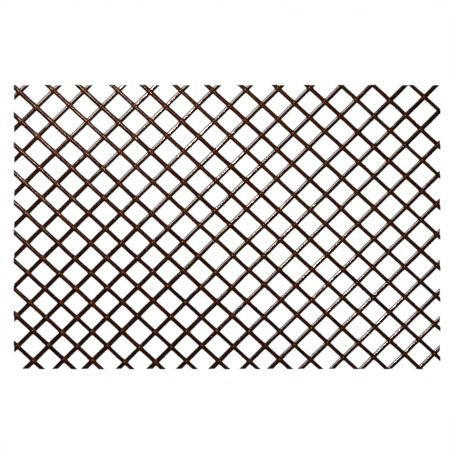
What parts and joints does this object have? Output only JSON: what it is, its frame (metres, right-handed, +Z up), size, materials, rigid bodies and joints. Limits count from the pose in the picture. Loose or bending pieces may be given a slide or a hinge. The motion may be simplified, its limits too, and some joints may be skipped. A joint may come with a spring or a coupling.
{
  "type": "expandable willow trellis panel",
  "caption": "Rectangular garden lattice of round willow rods in crossing layers, riveted where they cross so that it folds flat sideways.",
  "frame": {"origin": "middle of the panel, on the plane where the front rods lie against the back rods", "axes": "+X to the right along the panel's long side, +Z up, +Y from the front of the panel to its back"},
  "size_m": [1.2, 0.0268, 0.8],
  "materials": {
    "front_bark": "satin bark",
    "back_bark": "satin bark",
    "rivet_steel": "browned"
  },
  "bodies": {
    "front_rod_01": {"front_rod_01": "front_bark"},
    "front_rod_02": {"front_rod_02": "front_bark"},
    "front_rod_03": {"front_rod_03": "front_bark"},
    "front_rod_04": {"front_rod_04": "front_bark"},
    "front_rod_05": {"front_rod_05": "front_bark"},
    "front_rod_06": {"front_rod_06": "front_bark"},
    "front_rod_07": {"front_rod_07": "front_bark", "rivet_f07_b07": "rivet_steel", "rivet_f07_b08": "rivet_steel", "rivet_f07_b09": "rivet_steel", "rivet_f07_b10": "rivet_steel", "rivet_f07_b11": "rivet_steel", "rivet_f07_b12": "rivet_steel", "rivet_f07_b13": "rivet_steel", "rivet_f07_b14": "rivet_steel", "rivet_f07_b15": "rivet_steel", "rivet_f07_b16": "rivet_steel", "rivet_f07_b17": "rivet_steel", "rivet_f07_b18": "rivet_steel", "rivet_f07_b19": "rivet_steel", "rivet_f07_b20": "rivet_steel", "rivet_f07_b21": "rivet_steel"},
    "front_rod_08": {"front_rod_08": "front_bark"},
    "front_rod_09": {"front_rod_09": "front_bark"},
    "front_rod_10": {"front_rod_10": "front_bark"},
    "front_rod_11": {"front_rod_11": "front_bark"},
    "front_rod_12": {"front_rod_12": "front_bark"},
    "front_rod_13": {"front_rod_13": "front_bark"},
    "front_rod_14": {"front_rod_14": "front_bark"},
    "front_rod_15": {"front_rod_15": "front_bark"},
    "front_rod_16": {"front_rod_16": "front_bark"},
    "front_rod_17": {"front_rod_17": "front_bark"},
    "front_rod_18": {"front_rod_18": "front_bark"},
    "front_rod_19": {"front_rod_19": "front_bark"},
    "front_rod_20": {"front_rod_20": "front_bark"},
    "front_rod_21": {"front_rod_21": "front_bark"},
    "front_rod_22": {"front_rod_22": "front_bark"},
    "back_rod_01": {"back_rod_01": "back_bark"},
    "back_rod_02": {"back_rod_02": "back_bark"},
    "back_rod_03": {"back_rod_03": "back_bark"},
    "back_rod_04": {"back_rod_04": "back_bark"},
    "back_rod_05": {"back_rod_05": "back_bark"},
    "back_rod_06": {"back_rod_06": "back_bark"},
    "back_rod_07": {"back_rod_07": "back_bark"},
    "back_rod_08": {"back_rod_08": "back_bark"},
    "back_rod_09": {"back_rod_09": "back_bark"},
    "back_rod_10": {"back_rod_10": "back_bark"},
    "back_rod_11": {"back_rod_11": "back_bark"},
    "back_rod_12": {"back_rod_12": "back_bark"},
    "back_rod_13": {"back_rod_13": "back_bark"},
    "back_rod_14": {"back_rod_14": "back_bark"},
    "back_rod_15": {"back_rod_15": "back_bark"},
    "back_rod_16": {"back_rod_16": "back_bark"},
    "back_rod_17": {"back_rod_17": "back_bark"},
    "back_rod_18": {"back_rod_18": "back_bark"},
    "back_rod_19": {"back_rod_19": "back_bark"},
    "back_rod_20": {"back_rod_20": "back_bark"},
    "back_rod_21": {"back_rod_21": "back_bark"},
    "back_rod_22": {"back_rod_22": "back_bark"},
    "back_rod_23": {"back_rod_23": "back_bark"}
  },
  "joints": [
    {"name": "fold", "type": "hinge", "parent": "front_rod_07", "child": "back_rod_10", "pos_m": [0.09739, 0, 0.25767], "axis": [0, 1, 0], "range_deg": [-74, 70]},
    {"name": "back_pivot_07", "type": "hinge", "parent": "front_rod_07", "child": "back_rod_07", "pos_m": [-0.04046, 0, 0.38447], "axis": [0, 1, 0], "range_deg": [-74, 70]},
    {"name": "back_pivot_08", "type": "hinge", "parent": "front_rod_07", "child": "back_rod_08", "pos_m": [0.007, 0, 0.34082], "axis": [0, 1, 0], "range_deg": [-74, 70]},
    {"name": "back_pivot_09", "type": "hinge", "parent": "front_rod_07", "child": "back_rod_09", "pos_m": [0.05219, 0, 0.29924], "axis": [0, 1, 0], "range_deg": [-74, 70]},
    {"name": "back_pivot_11", "type": "hinge", "parent": "front_rod_07", "child": "back_rod_11", "pos_m": [0.14033, 0, 0.21817], "axis": [0, 1, 0], "range_deg": [-74, 70]},
    {"name": "back_pivot_12", "type": "hinge", "parent": "front_rod_07", "child": "back_rod_12", "pos_m": [0.18327, 0, 0.17867], "axis": [0, 1, 0], "range_deg": [-74, 70]},
    {"name": "back_pivot_13", "type": "hinge", "parent": "front_rod_07", "child": "back_rod_13", "pos_m": [0.23298, 0, 0.13294], "axis": [0, 1, 0], "range_deg": [-74, 70]},
    {"name": "back_pivot_14", "type": "hinge", "parent": "front_rod_07", "child": "back_rod_14", "pos_m": [0.27818, 0, 0.09137], "axis": [0, 1, 0], "range_deg": [-74, 70]},
    {"name": "back_pivot_15", "type": "hinge", "parent": "front_rod_07", "child": "back_rod_15", "pos_m": [0.32112, 0, 0.05187], "axis": [0, 1, 0], "range_deg": [-74, 70]},
    {"name": "back_pivot_16", "type": "hinge", "parent": "front_rod_07", "child": "back_rod_16", "pos_m": [0.36858, 0, 0.00822], "axis": [0, 1, 0], "range_deg": [-74, 70]},
    {"name": "back_pivot_17", "type": "hinge", "parent": "front_rod_07", "child": "back_rod_17", "pos_m": [0.41377, 0, -0.03336], "axis": [0, 1, 0], "range_deg": [-74, 70]},
    {"name": "back_pivot_18", "type": "hinge", "parent": "front_rod_07", "child": "back_rod_18", "pos_m": [0.45445, 0, -0.07078], "axis": [0, 1, 0], "range_deg": [-74, 70]},
    {"name": "back_pivot_19", "type": "hinge", "parent": "front_rod_07", "child": "back_rod_19", "pos_m": [0.49965, 0, -0.11235], "axis": [0, 1, 0], "range_deg": [-74, 70]},
    {"name": "back_pivot_20", "type": "hinge", "parent": "front_rod_07", "child": "back_rod_20", "pos_m": [0.54485, 0, -0.15393], "axis": [0, 1, 0], "range_deg": [-74, 70]},
    {"name": "back_pivot_21", "type": "hinge", "parent": "front_rod_07", "child": "back_rod_21", "pos_m": [0.58778, 0, -0.19343], "axis": [0, 1, 0], "range_deg": [-74, 70]},
    {"name": "front_pivot_04", "type": "hinge", "parent": "back_rod_10", "child": "front_rod_04", "pos_m": [0.23282, 0, 0.39149], "axis": [0, 1, 0], "range_deg": [-70, 74]},
    {"name": "front_pivot_05", "type": "hinge", "parent": "back_rod_10", "child": "front_rod_05", "pos_m": [0.18913, 0, 0.34832], "axis": [0, 1, 0], "range_deg": [-70, 74]},
    {"name": "front_pivot_06", "type": "hinge", "parent": "back_rod_10", "child": "front_rod_06", "pos_m": [0.14326, 0, 0.303], "axis": [0, 1, 0], "range_deg": [-70, 74]},
    {"name": "front_pivot_08", "type": "hinge", "parent": "back_rod_10", "child": "front_rod_08", "pos_m": [0.0537, 0, 0.2145], "axis": [0, 1, 0], "range_deg": [-70, 74]},
    {"name": "front_pivot_09", "type": "hinge", "parent": "back_rod_10", "child": "front_rod_09", "pos_m": [0.01002, 0, 0.17133], "axis": [0, 1, 0], "range_deg": [-70, 74]},
    {"name": "front_pivot_10", "type": "hinge", "parent": "back_rod_10", "child": "front_rod_10", "pos_m": [-0.03148, 0, 0.13032], "axis": [0, 1, 0], "range_deg": [-70, 74]},
    {"name": "front_pivot_11", "type": "hinge", "parent": "back_rod_10", "child": "front_rod_11", "pos_m": [-0.07735, 0, 0.08499], "axis": [0, 1, 0], "range_deg": [-70, 74]},
    {"name": "front_pivot_12", "type": "hinge", "parent": "back_rod_10", "child": "front_rod_12", "pos_m": [-0.11886, 0, 0.04398], "axis": [0, 1, 0], "range_deg": [-70, 74]},
    {"name": "front_pivot_13", "type": "hinge", "parent": "back_rod_10", "child": "front_rod_13", "pos_m": [-0.16691, 0, -0.0035], "axis": [0, 1, 0], "range_deg": [-70, 74]},
    {"name": "front_pivot_14", "type": "hinge", "parent": "back_rod_10", "child": "front_rod_14", "pos_m": [-0.20841, 0, -0.04451], "axis": [0, 1, 0], "range_deg": [-70, 74]},
    {"name": "front_pivot_15", "type": "hinge", "parent": "back_rod_10", "child": "front_rod_15", "pos_m": [-0.2521, 0, -0.08768], "axis": [0, 1, 0], "range_deg": [-70, 74]},
    {"name": "front_pivot_16", "type": "hinge", "parent": "back_rod_10", "child": "front_rod_16", "pos_m": [-0.2936, 0, -0.12869], "axis": [0, 1, 0], "range_deg": [-70, 74]},
    {"name": "front_pivot_17", "type": "hinge", "parent": "back_rod_10", "child": "front_rod_17", "pos_m": [-0.33729, 0, -0.17186], "axis": [0, 1, 0], "range_deg": [-70, 74]},
    {"name": "front_pivot_18", "type": "hinge", "parent": "back_rod_10", "child": "front_rod_18", "pos_m": [-0.38098, 0, -0.21503], "axis": [0, 1, 0], "range_deg": [-70, 74]},
    {"name": "front_pivot_19", "type": "hinge", "parent": "back_rod_10", "child": "front_rod_19", "pos_m": [-0.42248, 0, -0.25604], "axis": [0, 1, 0], "range_deg": [-70, 74]},
    {"name": "front_pivot_20", "type": "hinge", "parent": "back_rod_10", "child": "front_rod_20", "pos_m": [-0.46398, 0, -0.29705], "axis": [0, 1, 0], "range_deg": [-70, 74]},
    {"name": "front_pivot_21", "type": "hinge", "parent": "back_rod_10", "child": "front_rod_21", "pos_m": [-0.50111, 0, -0.33374], "axis": [0, 1, 0], "range_deg": [-70, 74]},
    {"name": "front_pivot_22", "type": "hinge", "parent": "back_rod_10", "child": "front_rod_22", "pos_m": [-0.5448, 0, -0.37691], "axis": [0, 1, 0], "range_deg": [-70, 74]},
    {"name": "front_pivot_01", "type": "hinge", "parent": "back_rod_14", "child": "front_rod_01", "pos_m": [0.55559, 0, 0.36549], "axis": [0, 1, 0], "range_deg": [-70, 74]},
    {"name": "front_pivot_02", "type": "hinge", "parent": "back_rod_14", "child": "front_rod_02", "pos_m": [0.50317, 0, 0.31368], "axis": [0, 1, 0], "range_deg": [-70, 74]},
    {"name": "front_pivot_03", "type": "hinge", "parent": "back_rod_14", "child": "front_rod_03", "pos_m": [0.45948, 0, 0.27052], "axis": [0, 1, 0], "range_deg": [-70, 74]},
    {"name": "back_pivot_01", "type": "hinge", "parent": "front_rod_13", "child": "back_rod_01", "pos_m": [-0.58499, 0, 0.38107], "axis": [0, 1, 0], "range_deg": [-74, 70]},
    {"name": "back_pivot_02", "type": "hinge", "parent": "front_rod_13", "child": "back_rod_02", "pos_m": [-0.53753, 0, 0.33742], "axis": [0, 1, 0], "range_deg": [-74, 70]},
    {"name": "back_pivot_03", "type": "hinge", "parent": "front_rod_13", "child": "back_rod_03", "pos_m": [-0.49234, 0, 0.29584], "axis": [0, 1, 0], "range_deg": [-74, 70]},
    {"name": "back_pivot_04", "type": "hinge", "parent": "front_rod_13", "child": "back_rod_04", "pos_m": [-0.44262, 0, 0.25011], "axis": [0, 1, 0], "range_deg": [-74, 70]},
    {"name": "back_pivot_05", "type": "hinge", "parent": "front_rod_13", "child": "back_rod_05", "pos_m": [-0.39516, 0, 0.20645], "axis": [0, 1, 0], "range_deg": [-74, 70]},
    {"name": "back_pivot_06", "type": "hinge", "parent": "front_rod_13", "child": "back_rod_06", "pos_m": [-0.34996, 0, 0.16488], "axis": [0, 1, 0], "range_deg": [-74, 70]},
    {"name": "back_pivot_22", "type": "hinge", "parent": "front_rod_09", "child": "back_rod_22", "pos_m": [0.54109, 0, -0.31718], "axis": [0, 1, 0], "range_deg": [-74, 70]},
    {"name": "back_pivot_23", "type": "hinge", "parent": "front_rod_09", "child": "back_rod_23", "pos_m": [0.58403, 0, -0.35668], "axis": [0, 1, 0], "range_deg": [-74, 70]}
  ],
  "couplings": [
    {"joint": "back_pivot_07", "follows": "fold", "ratio": 1},
    {"joint": "back_pivot_08", "follows": "fold", "ratio": 1},
    {"joint": "back_pivot_09", "follows": "fold", "ratio": 1},
    {"joint": "back_pivot_11", "follows": "fold", "ratio": 1},
    {"joint": "back_pivot_12", "follows": "fold", "ratio": 1},
    {"joint": "back_pivot_13", "follows": "fold", "ratio": 1},
    {"joint": "back_pivot_14", "follows": "fold", "ratio": 1},
    {"joint": "back_pivot_15", "follows": "fold", "ratio": 1},
    {"joint": "back_pivot_16", "follows": "fold", "ratio": 1},
    {"joint": "back_pivot_17", "follows": "fold", "ratio": 1},
    {"joint": "back_pivot_18", "follows": "fold", "ratio": 1},
    {"joint": "back_pivot_19", "follows": "fold", "ratio": 1},
    {"joint": "back_pivot_20", "follows": "fold", "ratio": 1},
    {"joint": "back_pivot_21", "follows": "fold", "ratio": 1},
    {"joint": "front_pivot_04", "follows": "fold", "ratio": -1},
    {"joint": "front_pivot_05", "follows": "fold", "ratio": -1},
    {"joint": "front_pivot_06", "follows": "fold", "ratio": -1},
    {"joint": "front_pivot_08", "follows": "fold", "ratio": -1},
    {"joint": "front_pivot_09", "follows": "fold", "ratio": -1},
    {"joint": "front_pivot_10", "follows": "fold", "ratio": -1},
    {"joint": "front_pivot_11", "follows": "fold", "ratio": -1},
    {"joint": "front_pivot_12", "follows": "fold", "ratio": -1},
    {"joint": "front_pivot_13", "follows": "fold", "ratio": -1},
    {"joint": "front_pivot_14", "follows": "fold", "ratio": -1},
    {"joint": "front_pivot_15", "follows": "fold", "ratio": -1},
    {"joint": "front_pivot_16", "follows": "fold", "ratio": -1},
    {"joint": "front_pivot_17", "follows": "fold", "ratio": -1},
    {"joint": "front_pivot_18", "follows": "fold", "ratio": -1},
    {"joint": "front_pivot_19", "follows": "fold", "ratio": -1},
    {"joint": "front_pivot_20", "follows": "fold", "ratio": -1},
    {"joint": "front_pivot_21", "follows": "fold", "ratio": -1},
    {"joint": "front_pivot_22", "follows": "fold", "ratio": -1},
    {"joint": "front_pivot_01", "follows": "fold", "ratio": -1},
    {"joint": "front_pivot_02", "follows": "fold", "ratio": -1},
    {"joint": "front_pivot_03", "follows": "fold", "ratio": -1},
    {"joint": "back_pivot_01", "follows": "fold", "ratio": 1},
    {"joint": "back_pivot_02", "follows": "fold", "ratio": 1},
    {"joint": "back_pivot_03", "follows": "fold", "ratio": 1},
    {"joint": "back_pivot_04", "follows": "fold", "ratio": 1},
    {"joint": "back_pivot_05", "follows": "fold", "ratio": 1},
    {"joint": "back_pivot_06", "follows": "fold", "ratio": 1},
    {"joint": "back_pivot_22", "follows": "fold", "ratio": 1},
    {"joint": "back_pivot_23", "follows": "fold", "ratio": 1}
  ]
}
